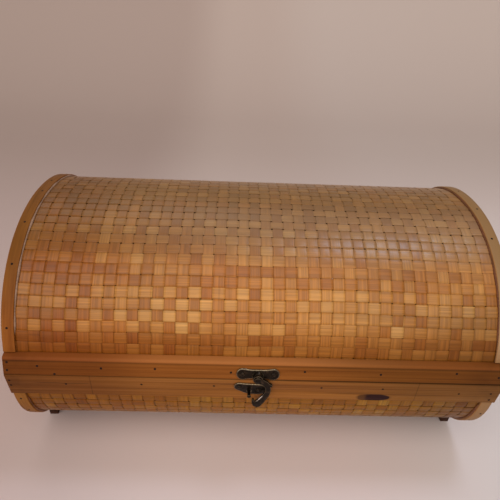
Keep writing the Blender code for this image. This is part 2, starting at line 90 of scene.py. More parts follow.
# The strips and their places in the mats
MAT_SINK = 0.0002
STRIP_THICKNESS = 0.00034
WEAVE_SWING = 0.00026
SWING_SHARPNESS = 0.30
RIB_COUNT = 42
RIB_PITCH = 0.0095
ROW_PITCH = 0.0092
LID_FIRST_ROW = 0.0024
BASE_FIRST_ROW = 0.0048
EDGE_DROP = 0.00004
CROWN = 0.00005
PALE_ROWS = (4, 5, 6, 7, 13, 14, 15)
DARK_ROWS = (8, 9, 17, 22)

# The gaps between strips, on the lid's front, on the rest of the lid and on the base,
# and the shares of the lid's arc between which they open
ROW_GAPS = (0.00040, 0.00130, 0.00110)
RIB_GAPS = (0.00090, 0.00140, 0.00120)
OPEN_FROM = 0.24
OPEN_BY = 0.36

# How uneven the weave is
SLACK = 0.00014
SWAY = 0.00016
WARP = 0.00050
WARP_FADE = 0.02
PATCH_TILT = 0.00011
PATCH_MARK = 0.16
GRAIN_SPAN = 40
PHASE_SPAN = 6.28

# The mesh lines of a strip, in pitches from each crossing and in half widths from its middle
STRIP_STATIONS = (-0.5, -0.44, -0.30, 0.30, 0.44)
EDGE_STATIONS = (-1.0, -0.88, 0.0, 0.88, 1.0)
STATION_MARGIN = 1e-4

# The camera, fitted to the photographed outline
CAMERA_PLACE = (-0.0211, -0.4445, 0.3858)
CAMERA_PITCH = math.radians(27.77)
CAMERA_YAW = math.radians(1.90)
CAMERA_ROLL = math.radians(2.54)
SENSOR = 36.0
LENS = 36.84

random_source = random.Random(11)


# Helpers for materials

class Finish:
    """A material and the nodes that colour it."""

    def __init__(self, name):
        self.material = bpy.data.materials.new(name)
        self.material.use_nodes = True
        self.tree = self.material.node_tree
        self.shader = self.tree.nodes["Principled BSDF"]

    def add(self, kind, inputs=None, **settings):
        """A new node with its settings, whose inputs are values or other nodes' outputs."""
        node = self.tree.nodes.new("ShaderNode" + kind)
        for key, value in settings.items():
            setattr(node, key, value)
        for key, value in (inputs or {}).items():
            if isinstance(value, bpy.types.NodeSocket):
                self.tree.links.new(value, node.inputs[key])
            else:
                node.inputs[key].default_value = value
        return node

    def math(self, operation, first, second=0.0, third=0.0):
        return self.add("Math", {0: first, 1: second, 2: third}, operation=operation).outputs[0]

    def remap(self, value, low, high, new_low, new_high):
        """A value eased from one pair of ends to another, and held beyond them."""
        inputs = {"Value": value, "From Min": low, "From Max": high, "To Min": new_low, "To Max": new_high}
        return self.add("MapRange", inputs, interpolation_type="SMOOTHSTEP").outputs[0]

    def product(self, *factors):
        total = factors[0]
        for factor in factors[1:]:
            total = self.math("MULTIPLY", total, factor)
        return total

    def fade_in(self, value, start, end):
        return self.remap(value, start, end, 0.0, 1.0)

    def fade_out(self, value, start, end):
        return self.remap(value, start, end, 1.0, 0.0)

    def inverse(self, value):
        return self.math("SUBTRACT", 1.0, value)

    def distance(self, value, middle):
        return self.math("ABSOLUTE", self.math("SUBTRACT", value, middle))

    def split(self, vector):
        parts = self.add("SeparateXYZ", {0: vector}).outputs
        return parts[0], parts[1], parts[2]

    def stretch(self, vector, scale):
        return self.add("VectorMath", {0: vector, 1: scale}, operation="MULTIPLY").outputs[0]

    def noise(self, vector, scale, detail=2.0, roughness=0.5, distortion=0.0):
        inputs = {
            "Vector": vector, "Scale": scale, "Detail": detail, "Roughness": roughness,
            "Distortion": distortion,
        }
        return self.add("TexNoise", inputs).outputs["Fac"]

    def ramp(self, factor, stops):
        node = self.add("ValToRGB", {0: factor})
        elements = node.color_ramp.elements
        while len(elements) < len(stops):
            elements.new(0.5)
        for element, (place, colour) in zip(elements, stops):
            element.position = place
            element.color = (*colour, 1.0)
        return node.outputs[0]

    def blend(self, factor, first, second):
        return self.add("Mix", {0: factor, 6: first, 7: second}, data_type="RGBA").outputs[2]

    def tint(self, factor, colour, filter_colour):
        """A colour seen through a coloured film, as far as the factor says."""
        inputs = {0: factor, 6: colour, 7: (*filter_colour, 1.0)}
        return self.add("Mix", inputs, data_type="RGBA", blend_type="MULTIPLY").outputs[2]

    def shade(self, colour, factor):
        """A colour made darker or lighter by a factor."""
        return self.add("VectorMath", {0: colour, "Scale": factor}, operation="SCALE").outputs[0]

    def attribute(self, name, output="Vector"):
        return self.add("Attribute", attribute_name=name).outputs[output]

    def set(self, name, value):
        if isinstance(value, bpy.types.NodeSocket):
            self.tree.links.new(value, self.shader.inputs[name])
        else:
            self.shader.inputs[name].default_value = value

    def bump(self, height, strength, distance):
        node = self.add("Bump", {"Height": height, "Strength": strength, "Distance": distance})
        self.set("Normal", node.outputs[0])

    def object_place(self):
        return self.add("TexCoord").outputs["Object"]


# Bamboo

BAMBOO_TONES = (
    (0.00, (0.640, 0.322, 0.090)),
    (0.30, (0.520, 0.218, 0.044)),
    (0.60, (0.405, 0.140, 0.021)),
    (1.00, (0.270, 0.078, 0.009)),
)
DRIFT_SCALE = (16.0, 0.0, 91.0)
FIBRE_SCALE = (20.0, 1900.0, 173.0)
BUNDLE_SCALE = (6.0, 560.0, 57.0)
CLOUD_SCALE = 13.0
RING_REACH = 0.16
# Films over the bamboo: the clouds are deeper lacquer, by the rail and low on the lid the colour is darker,
# the base is yellower, and the flanks, the shoulder, the low right and both ends are painted shade.
LACQUER_AND_SHADE_FILMS = {
    "clouds": (0.86, 0.70, 0.50),
    "by the rail": (0.66, 0.56, 0.38),
    "low on the lid": (0.93, 0.91, 0.90),
    "low at the right": (0.86, 0.88, 0.94),
    "base": (1.00, 1.22, 0.82),
    "flanks": (0.88, 0.91, 0.96),
    "shoulder": (0.87, 0.90, 0.98),
    "right end": (0.68, 0.64, 0.57),
    "left end": (0.71, 0.58, 0.40),
}
DUST_AND_SHADE = (0.174, 0.088, 0.026, 1.0)
PAINTED_SHEEN = (0.310, 0.225, 0.175, 1.0)


def bamboo_age_and_painted_light(f, colour, place, x, height, drift):
    """Deeper lacquer in clouds; darker and more amber by the rail, a little darker low on the lid, and
    yellower on the base; painted shade at the ends, on the flanks, across the shoulder and low at the right;
    a dusty brown with painted shade darkens the top, and a painted sheen greys the upper lid.
    """
    clouds = f.fade_in(f.noise(place, CLOUD_SCALE, 2.0), 0.42, 0.62)
    clouds = f.product(clouds, f.remap(x, -0.12, 0.06, 0.75, 0.25))
    colour = f.tint(clouds, colour, LACQUER_AND_SHADE_FILMS["clouds"])
    colour = f.tint(f.fade_out(height, 0.124, 0.150), colour, LACQUER_AND_SHADE_FILMS["by the rail"])
    colour = f.tint(f.fade_out(height, 0.140, 0.175), colour, LACQUER_AND_SHADE_FILMS["low on the lid"])
    # Painted shade low at the right.
    right_low = f.remap(x, 0.03, 0.13, 0.0, f.fade_out(height, 0.145, 0.170))
    colour = f.tint(right_low, colour, LACQUER_AND_SHADE_FILMS["low at the right"])
    colour = f.tint(f.fade_out(height, 0.092, 0.100), colour, LACQUER_AND_SHADE_FILMS["base"])
    # Painted shade on the flanks, at middle height.
    flanks = f.product(
        f.fade_in(f.math("ABSOLUTE", x), 0.03, 0.10),
        f.fade_in(height, 0.140, 0.155),
        f.fade_out(height, 0.195, 0.204),
    )
    colour = f.tint(flanks, colour, LACQUER_AND_SHADE_FILMS["flanks"])
    # Painted shade in a band across the shoulder.
    shoulder = f.product(f.fade_in(height, 0.183, 0.191), f.fade_out(height, 0.198, 0.206))
    colour = f.tint(shoulder, colour, LACQUER_AND_SHADE_FILMS["shoulder"])
    # A dusty brown together with painted shade: the top of the lid darker and browner.
    dust_and_shade = f.product(f.remap(height, 0.183, 0.2135, 0.0, 0.84), f.remap(drift, 0.3, 0.7, 0.8, 1.1))
    colour = f.blend(dust_and_shade, colour, DUST_AND_SHADE)
    # Painted sheen: a grey-lilac haze over the upper lid, strongest at the middle and right.
    painted_sheen = f.product(
        f.remap(height, 0.165, 0.204, 0.0, 0.22),
        f.fade_out(height, 0.2060, 0.2125),
        f.remap(x, -0.15, -0.02, 0.20, 1.0),
    )
    colour = f.blend(painted_sheen, colour, PAINTED_SHEEN)
    # Painted shade towards both ends.
    right_end = f.remap(x, 0.100, 0.195, 0.0, f.fade_out(height, 0.150, 0.185))
    colour = f.tint(right_end, colour, LACQUER_AND_SHADE_FILMS["right end"])
    return f.tint(f.fade_in(x, -0.100, -0.195), colour, LACQUER_AND_SHADE_FILMS["left end"])


def bamboo_finish():
    """Lacquered bamboo: each strip has its own tone, with fibres and a growth ring here and there, and
    painted shade along its edges and where it dives under another strip.
    """
    f = Finish("lacquered bamboo strips")
    strip = f.attribute("strip")
    along, _, strip_tone = f.split(strip)
    fold, edge, mark = f.split(f.attribute("patch"))
    drift = f.noise(f.stretch(strip, DRIFT_SCALE), 1.0, 2.0)
    tone = f.math("MULTIPLY_ADD", f.math("SUBTRACT", drift, 0.5), 0.75, strip_tone)
    tone = f.math("ADD", tone, mark)
    colour = f.ramp(tone, BAMBOO_TONES)
    fibres = f.noise(f.stretch(strip, FIBRE_SCALE), 1.0, 2.0, 0.6)
    bundles = f.noise(f.stretch(strip, BUNDLE_SCALE), 1.0, 1.0)
    ring_distance = f.math("ABSOLUTE", f.math("WRAP", along, RING_REACH, -RING_REACH))
    ring = f.remap(ring_distance, 0.0002, 0.0012, 0.80, 1.0)
    place = f.object_place()
    x, _, height = f.split(place)
    rise = f.fade_in(height, 0.130, 0.190)
    # Painted shade along the strips' edges; the fold term below paints shade where a strip dives under
    # another.
    edge_shade = f.product(f.fade_in(edge, 0.70, 1.0), f.math("MULTIPLY_ADD", rise, -0.05, 0.09))
    light = f.product(
        f.remap(fibres, 0.25, 0.75, 0.82, 1.14),
        f.remap(bundles, 0.3, 0.7, 0.82, 1.11),
        f.inverse(edge_shade),
        f.remap(fold, -0.4, 0.96, f.math("MULTIPLY_ADD", rise, 0.10, 0.80), 1.0),
        ring,
    )
    colour = bamboo_age_and_painted_light(f, f.shade(colour, light), place, x, height, drift)
    f.set("Base Color", colour)
    f.set("Roughness", f.remap(bundles, 0.3, 0.7, 0.32, 0.44))
    f.set("Specular IOR Level", 0.12)
    f.set("Coat Weight", f.product(
        f.remap(height, 0.130, 0.168, 0.10, 0.40),
        f.remap(height, 0.200, 0.212, 1.0, 0.5),
        f.fade_in(fold, 0.55, 0.95),
    ))
    f.set("Coat Roughness", 0.27)
    f.bump(f.math("ADD", fibres, f.product(ring, 1.5)), 0.30, 0.00012)
    return f.material


# Wood

# Where the pale, middle and dark tone lie, and how fine the bands, lines and pores are each way
WOOD_STOPS = (0.38, 0.50, 0.63)
GRAIN_SCALES = {
    "X": ((2.2, 46.0, 46.0), (3.0, 420.0, 420.0), (26.0, 1500.0, 1500.0)),
    "AROUND": ((90.0, 13.0, 13.0), (620.0, 16.0, 16.0), (1800.0, 90.0, 90.0)),
    "Y": ((40.0, 3.0, 40.0), (330.0, 4.0, 330.0), (1500.0, 30.0, 1500.0)),
}


def wood_finish(name, pale, mid, dark, along, marks=None):
    """Varnished softwood: broad bands, fine lines and pores along the grain, and edges rubbed paler."""
    f = Finish(name)
    place = f.object_place()
    broad, lines, pores = GRAIN_SCALES[along]
    bands = f.noise(f.stretch(place, broad), 1.0, 2.0, 0.5, 0.4)
    grain = f.noise(f.stretch(place, lines), 1.0, 2.0, 0.6, 0.3)
    fine = f.noise(f.stretch(place, pores), 1.0, 2.0, 0.6)
    tone = f.math("MULTIPLY_ADD", bands, 0.68, f.product(grain, 0.32))
    colour = f.ramp(tone, tuple(zip(WOOD_STOPS, (pale, mid, dark))))
    light = f.product(
        f.remap(fine, 0.3, 0.7, 0.93, 1.05),
        f.remap(grain, 0.60, 0.74, 1.0, 0.80),
    )
    colour = f.shade(colour, light)
    if marks:
        colour = marks(f, place, colour)
    rubbed = f.product(f.attribute("rim", "Fac"), f.remap(bands, 0.35, 0.65, 0.10, 0.40))
    colour = f.blend(rubbed, colour, (*(1.3 * channel for channel in pale), 1.0))
    f.set("Base Color", colour)
    f.set("Roughness", f.remap(grain, 0.3, 0.7, 0.42, 0.56))
    f.set("Specular IOR Level", 0.07)
    f.bump(f.math("ADD", fine, grain), 0.22, 0.00010)
    return f.material


RAIL_FILMS = {
    "right": (0.65, 0.67, 0.60),
    "left": (0.70, 0.64, 0.60),
    "ends": (0.74, 0.73, 0.70),
}
LEDGE_CREASE = PARTING + 0.0122
LEDGE_ROUND = 0.0012
LEDGE_COLOUR = (0.430, 0.152, 0.040, 1.0)
LEDGE_SIDES_FILM = (0.86, 0.72, 0.62)


def rail_age_and_shade(f, place, colour, dark_from, dark_by):
    """The rails are darker on both sides of the latch and smudged at the ends, with painted shade along the
    gap at the parting.
    """
    x, _, z = f.split(place)
    colour = f.tint(f.fade_in(x, dark_from, dark_by), colour, RAIL_FILMS["right"])
    colour = f.tint(f.fade_in(x, -0.075, -0.135), colour, RAIL_FILMS["left"])
    smudge = f.remap(f.noise(place, 70.0, 2.0), 0.35, 0.65, 0.45, 1.0)
    ends = f.product(f.fade_in(f.math("ABSOLUTE", x), 0.150, 0.198), smudge)
    colour = f.tint(ends, colour, RAIL_FILMS["ends"])
    # Painted shade in the gap at the parting, deeper towards the right.
    parting_shade = f.distance(z, PARTING)
    parting_shade = f.product(f.fade_out(parting_shade, 0.0003, 0.0013), f.remap(x, -0.06, 0.04, 0.25, 0.60))
    return f.shade(colour, f.inverse(parting_shade))


def lid_rail_marks(f, place, colour):
    """The ledge along the lid rail's top is lighter and more orange, less so towards its ends, above a
    painted shadow under its overhang.
    """
    x, _, z = f.split(place)
    ledge = f.fade_in(z, LEDGE_CREASE, LEDGE_CREASE + LEDGE_ROUND)
    colour = f.blend(f.product(ledge, 0.65), colour, LEDGE_COLOUR)
    sides = f.product(ledge, f.fade_in(f.math("ABSOLUTE", x), 0.03, 0.17))
    colour = f.tint(sides, colour, LEDGE_SIDES_FILM)
    # Painted shadow in a line under the ledge's overhang.
    ledge_shadow_distance = f.distance(z, LEDGE_CREASE)
    colour = f.shade(colour, f.remap(ledge_shadow_distance, 0.0002, 0.0014, 0.66, 1.0))
    return rail_age_and_shade(f, place, colour, 0.0, 0.115)


BAND_FILMS = {
    "high at the left": (0.72, 0.63, 0.42),
    "low at the right": (0.65, 0.54, 0.40),
    "left of the base": (0.93, 1.15, 1.40),
}
BAND_PALE_AND_SHEEN = (0.475, 0.320, 0.190, 1.0)
BAND_TOP_DARK = (0.205, 0.095, 0.020, 1.0)


def band_tone_and_sheen(f, place, colour):
    """The left bands are redder and darker, the right ones paler wood with a painted sheen, and all are
    darker on top.
    """
    x, _, z = f.split(place)
    side = f.fade_in(x, -0.1, 0.1)
    high = f.fade_in(z, 0.140, 0.200)
    colour = f.tint(f.product(f.inverse(side), high), colour, BAND_FILMS["high at the left"])
    # Paler wood with a painted sheen on the right bands.
    colour = f.blend(f.product(side, 0.85), colour, BAND_PALE_AND_SHEEN)
    low_right = f.product(side, f.fade_out(z, 0.118, 0.152))
    colour = f.tint(low_right, colour, BAND_FILMS["low at the right"])
    below = f.fade_out(z, PARTING - 0.006, PARTING)
    colour = f.tint(f.product(f.inverse(side), below), colour, BAND_FILMS["left of the base"])
    top_dark = f.product(high, f.math("MULTIPLY_ADD", side, 0.35, 0.40))
    return f.blend(top_dark, colour, BAND_TOP_DARK)


KNOT_PLACE = (0.0970, 0.0844)
KNOT_SIZE = (0.0132, 0.0041)
KNOT_SCALE = (60.0, 300.0, 300.0)
KNOT_TONES = (
    (0.30, (0.022, 0.006, 0.006)),
    (0.62, (0.036, 0.010, 0.009)),
    (0.80, (0.080, 0.024, 0.018)),
)
SEAMS = ((-0.1332, 0.03), (0.1305, -0.04))
CRACK_SPAN = (-0.181, -0.128)
CRACK_TAPER = 0.012
CRACK_HEIGHT = 0.0953
LINE_CORE = 0.00015
LINE_EDGE = 0.00060


def base_rail_marks(f, place, colour):
    """The burgundy knot, two butt joints and a drying crack in the base's front rail."""
    colour = rail_age_and_shade(f, place, colour, 0.03, 0.15)
    x, y, z = f.split(place)
    wobble = f.math("SUBTRACT", f.noise(place, 120.0, 2.0), 0.5)
    across = f.math("DIVIDE", f.math("SUBTRACT", x, KNOT_PLACE[0]), KNOT_SIZE[0])
    upward = f.math("DIVIDE", f.math("SUBTRACT", z, KNOT_PLACE[1]), KNOT_SIZE[1])
    narrow = f.math("MULTIPLY_ADD", f.fade_in(across, 0.45, 1.0), 1.5, 1.0)
    height = f.product(f.math("POWER", f.math("ABSOLUTE", upward), 3.0), narrow)
    spread = f.math("ADD", f.math("POWER", f.math("ABSOLUTE", across), 3.2), height)
    spread = f.math("MULTIPLY_ADD", wobble, 0.4, spread)
    heart = f.ramp(f.noise(f.stretch(place, KNOT_SCALE), 1.0, 2.0), KNOT_TONES)
    front = f.math("LESS_THAN", y, 0.0)
    depth = f.product(front, f.remap(across, -0.70, -0.35, 0.55, 1.0))
    colour = f.blend(f.product(depth, f.fade_out(spread, 0.90, 1.05)), colour, heart)
    halo = f.product(front, f.remap(spread, 1.0, 1.7, 0.30, 0.0))
    colour = f.shade(colour, f.inverse(halo))
    for seam_x, slope in SEAMS:
        line = f.math("MULTIPLY_ADD", f.math("SUBTRACT", z, PARTING), slope, seam_x)
        colour = f.shade(colour, f.remap(f.distance(x, line), LINE_CORE, LINE_EDGE, 0.66, 1.0))
    wave = f.math("MULTIPLY_ADD", wobble, 0.0016, CRACK_HEIGHT)
    distance = f.distance(z, wave)
    ends = f.product(
        f.fade_in(x, CRACK_SPAN[0], CRACK_SPAN[0] + CRACK_TAPER),
        f.fade_out(x, CRACK_SPAN[1] - CRACK_TAPER, CRACK_SPAN[1]),
    )
    crack = f.product(ends, front, f.remap(distance, LINE_CORE, LINE_EDGE, 0.55, 0.0))
    return f.shade(colour, f.inverse(crack))


# Metal and small trim

# Where and which way the crook's painted highlight runs, and its colour.
CROOK_PLACE = (0.00215, 0.0871)
CROOK_WAY = (0.574, 0.819)
PAINTED_GLINT = (0.800, 0.740, 0.640, 1.0)
BRONZE_TONES = (
    (0.30, (0.007, 0.004, 0.002)),
    (0.55, (0.018, 0.011, 0.006)),
    (0.75, (0.055, 0.034, 0.017)),
)
RUBBED_BRONZE = (0.400, 0.305, 0.185, 1.0)
SPECKLE_SCALE = 600.0


def crook_painted_glint(f, place, colour):
    """A painted highlight along the inner edge of the hook's crook, broken in places."""
    x, _, z = f.split(place)
    right = f.math("SUBTRACT", x, CROOK_PLACE[0])
    up = f.math("SUBTRACT", z, CROOK_PLACE[1])
    along = f.math("MULTIPLY_ADD", right, CROOK_WAY[0], f.product(up, CROOK_WAY[1]))
    aside = f.math("MULTIPLY_ADD", right, CROOK_WAY[1], f.product(up, -CROOK_WAY[0]))
    line = f.fade_out(f.math("ABSOLUTE", aside), 0.00015, 0.00050)
    length = f.fade_out(f.math("ABSOLUTE", along), 0.0028, 0.0042)
    broken = f.remap(f.noise(place, 420.0, 1.0), 0.42, 0.56, 0.10, 1.0)
    return f.blend(f.product(line, length, broken), colour, PAINTED_GLINT)


def bronze_finish(name, wear, roughest, smoothest, marks=None):
    """Bronze darkened with age, rubbed bright on its edges as far as the wear says."""
    f = Finish(name)
    place = f.object_place()
    cloud = f.noise(place, 240.0, 3.0, 0.6)
    speck = f.noise(place, 1100.0, 2.0, 0.6)
    colour = f.ramp(cloud, BRONZE_TONES)
    rubbed = f.product(f.attribute("rim", "Fac"), f.remap(speck, 0.35, 0.62, 0.4 * wear, wear))
    colour = f.blend(rubbed, colour, RUBBED_BRONZE)
    if marks:
        colour = marks(f, place, colour)
    f.set("Base Color", colour)
    f.set("Metallic", 0.85)
    f.set("Roughness", f.remap(cloud, 0.3, 0.7, roughest, smoothest))
    f.bump(speck, 0.18, 0.00012)
    return f.material


def trim_finish(name, colour, roughness):
    """A finish for brads and glue, with a little unevenness in it."""
    f = Finish(name)
    cloud = f.noise(f.object_place(), SPECKLE_SCALE, 2.0)
    dark = tuple(0.7 * channel for channel in colour)
    f.set("Base Color", f.ramp(cloud, ((0.35, dark), (0.65, colour))))
    f.set("Roughness", roughness)
    f.set("Specular IOR Level", 0.15)
    return f.material


# Helpers for pieces

# Angles in degrees: what stays smooth, what counts as flat and which edges are eased
SMOOTH_ANGLE = 35
STRIP_SMOOTH_ANGLE = 60
FLAT_ANGLE = 0.6
WOOD_SHARP_ANGLE = 28
PRESSED_SHARP_ANGLE = 50

MERGE_DISTANCE = 2e-6
EDGE_SEGMENTS = 2
RAIL_EDGE = 0.0005
BAND_EDGE = 0.0006
BOARD_EDGE = 0.0004
FOOT_EDGE = 0.0004
METAL_EDGE = 0.00016

# The steps of a pressed edge: how far in, how far up, and how much it is rubbed
PRESSED_RINGS = ((0.00016, 0.00024, 1.0), (0.00026, 0.00014, 0.7), (0.00038, 0.00007, 0.25))


def new_piece(name, builder, material, body, smooth_angle=SMOOTH_ANGLE):
    """A finished piece from a bmesh, riding on its body."""
    mesh = bpy.data.meshes.new(name)
    builder.to_mesh(mesh)
    builder.free()
    mesh.shade_smooth()
    mesh.set_sharp_from_angle(angle=math.radians(smooth_angle))
    mesh.materials.append(material)
    piece = bpy.data.objects.new(name, mesh)
    bpy.context.scene.collection.objects.link(piece)
    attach(piece, body)
    return piece


def merged_copy(node):
    """A node's mesh with its loose triangles joined and its flat faces whole."""
    builder = bmesh.new()
    builder.from_mesh(nodes[node].data)
    bmesh.ops.remove_doubles(builder, verts=builder.verts, dist=MERGE_DISTANCE)
    bmesh.ops.dissolve_limit(
        builder, angle_limit=math.radians(FLAT_ANGLE), verts=builder.verts, edges=builder.edges,
    )
    return builder


def ease_edges(builder, edge, sharp):
    """Round the sharp edges and mark the faces that this makes as the rim."""
    rim = builder.faces.layers.float.get("rim") or builder.faces.layers.float.new("rim")
    edges = [e for e in builder.edges if e.calc_face_angle(0.0) > math.radians(sharp)]
    made = bmesh.ops.bevel(
        builder, geom=edges, offset=edge, offset_type="OFFSET", segments=EDGE_SEGMENTS, profile=0.5,
        affect="EDGES", clamp_overlap=True, material=-1,
    )
    for face in made["faces"]:
        face[rim] = 1.0


def stand_in(node, suffix, builder, material):
    """A finished piece that takes the place of a model's piece."""
    piece = new_piece(f"{node}_{suffix}", builder, material, nodes[node]["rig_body"])
    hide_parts(node)
    return piece


def worked_copy(node, suffix, material, edge):
    """A copy of a model's piece with its edges eased, which stands in for it."""
    builder = merged_copy(node)
    ease_edges(builder, edge, WOOD_SHARP_ANGLE)
    return stand_in(node, suffix, builder, material)


def pressed_copy(node, material, share=1.0):
    """A copy of a flat metal piece whose front is rounded over at its outline, as pressed metal is."""
    builder = merged_copy(node)
    rim = builder.faces.layers.float.new("rim")
    largest = max((face for face in builder.faces if face.normal.y < -0.5), key=lambda face: face.calc_area())
    front = largest.normal.copy()
    level = largest.calc_center_median().dot(front)
    faces = [
        face for face in builder.faces
        if face.normal.dot(front) > 0.999 and abs(face.calc_center_median().dot(front) - level) < 2e-5
    ]
    sink = share * sum(rise for _, rise, _ in PRESSED_RINGS)
    front_verts = list({vert for face in faces for vert in face.verts})
    bmesh.ops.translate(builder, verts=front_verts, vec=-front * sink)
    for width, rise, wear in PRESSED_RINGS:
        ring = bmesh.ops.inset_region(
            builder, faces=faces, thickness=share * width, depth=share * rise, use_boundary=True,
            use_even_offset=True,
        )["faces"]
        for face in ring:
            face[rim] = wear
    ease_edges(builder, METAL_EDGE, PRESSED_SHARP_ANGLE)
    return stand_in(node, "bronze", builder, material)


# The barrel's section

class Section:
    """The lid's or the base's curve, by arc length from its front edge at the parting plane."""

    def __init__(self, way, rise, roundness, offset):
        angles = np.linspace(0.0, math.pi, CURVE_STEPS + 1)
        power = 2 / roundness
        across = np.cos(angles)
        self.depths = -(HALF_DEPTH + offset) * np.sign(across) * np.abs(across) ** power
        self.heights = way * (rise + offset) * np.abs(np.sin(angles)) ** power
        steps = np.hypot(np.diff(self.depths), np.diff(self.heights))
        self.arcs = np.concatenate([[0.0], np.cumsum(steps)])
        self.length = float(self.arcs[-1])
        self.way = way

    def depth(self, arcs):
        return np.interp(arcs, self.arcs, self.depths)

    def height(self, arcs):
        return np.interp(arcs, self.arcs, self.heights)

    def places(self, x, arcs, lifts):
        """Places over the curve: along the trunk, round the arc and lifted off it."""
        run_y = self.depth(arcs + SLOPE_REACH) - self.depth(arcs - SLOPE_REACH)
        run_z = self.height(arcs + SLOPE_REACH) - self.height(arcs - SLOPE_REACH)
        size = np.hypot(run_y, run_z)
        y = self.depth(arcs) - self.way * run_z / size * lifts
        z = PARTING + self.height(arcs) + self.way * run_y / size * lifts
        return np.stack([x, y, z], axis=1)


def half_section(prefix, offset):
    """The curve of the lid or of the base, set off from its wooden one."""
    if prefix == "lid":
        return Section(1, LID_RISE, LID_ROUNDNESS, offset)
    return Section(-1, BASE_DROP, BASE_ROUNDNESS, offset)


# The woven mats

def swing(turns):
    """How far a strip lies over, 1, or under, -1, its neighbour, by pitches from where it lies over."""
    wave = np.cos(math.pi * turns)
    return wave * math.sqrt(1 + SWING_SHARPNESS**2) / np.sqrt(wave**2 + SWING_SHARPNESS**2)


def strip_gap(prefix, shares, gaps):
    """The gap between strips: tight on the front of the lid, and open elsewhere."""
    tight, open_gap, base_gap = gaps
    if prefix == "base":
        return np.full(shares.shape, base_gap)
    t = np.clip((shares - OPEN_FROM) / (OPEN_BY - OPEN_FROM), 0.0, 1.0)
    return tight + (open_gap - tight) * t * t * (3 - 2 * t)


def warp(x, arcs, start, end):
    """The small bends of the whole mat, which fade out at its edges."""
    fade = WARP * np.clip(np.minimum(arcs - start, end - arcs) / WARP_FADE, 0.0, 1.0)
    new_x = x + fade * (np.sin(14 * arcs + 5 * x + 1) + 0.6 * np.sin(39 * arcs - 21 * x))
    new_arcs = arcs + fade * (np.sin(17 * x + 9 * arcs) + 0.6 * np.sin(43 * x - 25 * arcs))
    return np.clip(new_x, -END_X, END_X), np.clip(new_arcs, start, end)


def run_stations(first, pitch, count, start, end):
    """Places along a strip, close together where it dives, and cut off at the mat's edges."""
    places = [first + pitch * (k + share) for k in range(-1, count + 1) for share in STRIP_STATIONS]
    inside = [place for place in places if start + STATION_MARGIN < place < end - STATION_MARGIN]
    return np.array([start] + inside + [end])


def weave_strips(name, section, first_row, tones, material, body, lengthwise):
    """All the strips of one direction of a mat, as one piece."""
    start = MAT_SETBACK
    end = section.length - MAT_SETBACK
    row_count = int((end - first_row + ROW_PITCH / 2) / ROW_PITCH) + 1
    first_rib = -(RIB_COUNT - 1) / 2 * RIB_PITCH
    if lengthwise:
        count, own_first, own_pitch = row_count, first_row, ROW_PITCH
        other_first, other_pitch = first_rib, RIB_PITCH
        stations = run_stations(first_rib, RIB_PITCH, RIB_COUNT, -END_X, END_X)
    else:
        count, own_first, own_pitch = RIB_COUNT, first_rib, RIB_PITCH
        other_first, other_pitch = first_row, ROW_PITCH
        stations = run_stations(first_row, ROW_PITCH, row_count, start, end)
    gaps, parity = (ROW_GAPS, 0) if lengthwise else (RIB_GAPS, 1)
    patch_count = max(row_count, RIB_COUNT) + 2
    edges = np.array(EDGE_STATIONS)
    builder = bmesh.new()
    strip_layer = builder.verts.layers.float_vector.new("strip")
    patch_layer = builder.verts.layers.float_vector.new("patch")
    for index in range(count):
        tone = tones(index)
        grain = random_source.random() * GRAIN_SPAN
        phase = random_source.random() * PHASE_SPAN
        slack = random_source.uniform(-SLACK, SLACK)
        tilts = np.array([random_source.uniform(-PATCH_TILT, PATCH_TILT) for _ in range(patch_count)])
        marks = np.array([random_source.uniform(-PATCH_MARK, PATCH_MARK) for _ in range(patch_count)])
        verts = bmesh.ops.create_grid(
            builder, x_segments=len(stations) - 1, y_segments=len(edges) - 1, size=0.5,
        )["verts"]
        corners = np.array([vert.co for vert in verts])
        run = stations[np.rint((corners[:, 0] + 0.5) * (len(stations) - 1)).astype(int)]
        lane = edges[np.rint((corners[:, 1] + 0.5) * (len(edges) - 1)).astype(int)]
        middle = own_first + own_pitch * index
        shares = np.broadcast_to((middle if lengthwise else run) / section.length, run.shape)
        half = (own_pitch - strip_gap(body, shares, gaps)) / 2 + slack
        crossing = (run - other_first) / other_pitch
        nearest = np.rint(crossing).astype(int)
        over = np.where((nearest + index) % 2 == parity, 1, -1)
        wave = over * swing(crossing - nearest)
        sway = SWAY * (np.sin(run * 31 + phase) + 0.6 * np.sin(run * 83 + 2 * phase))
        across = middle + sway + lane * half
        lift = WEAVE_SWING * wave + CROWN * (1 - lane * lane) - EDGE_DROP * (np.abs(lane) == 1)
        lift += tilts[nearest + 1] * lane * np.maximum(wave, 0.0)
        x, arcs = warp(run, across, start, end) if lengthwise else warp(across, run, start, end)
        places = section.places(x, arcs, lift).tolist()
        strips = np.stack([run + grain, lane * half, np.full(run.shape, tone)], axis=1).tolist()
        patches = np.stack([wave, np.abs(lane), marks[nearest + 1]], axis=1).tolist()
        for vert, place, strip, patch in zip(verts, places, strips, patches):
            vert.co = place
            vert[strip_layer] = strip
            vert[patch_layer] = patch
    face = builder.faces[:][0]
    face.normal_update()
    if face.normal.dot(face.calc_center_median() - Vector((0, 0, PARTING))) < 0:
        bmesh.ops.reverse_faces(builder, faces=builder.faces)
    piece = new_piece(name, builder, material, body, STRIP_SMOOTH_ANGLE)
    wall = piece.modifiers.new("strip thickness", "SOLIDIFY")
    wall.thickness = STRIP_THICKNESS
    wall.offset = 0.0
    return piece


def row_tone(index):
    """Most rows are honey-coloured; a few are straw-pale or red-brown."""
    if index in PALE_ROWS:
        return random_source.uniform(0.20, 0.28)
    if index in DARK_ROWS:
        return random_source.uniform(0.50, 0.62)
    return random_source.uniform(0.30, 0.46)


def rib_tone(index):
    """Ribs are redder towards the left end and paler towards the right."""
    share = index / (RIB_COUNT - 1)
    return 0.48 - 0.09 * share + random_source.uniform(-0.13, 0.13)


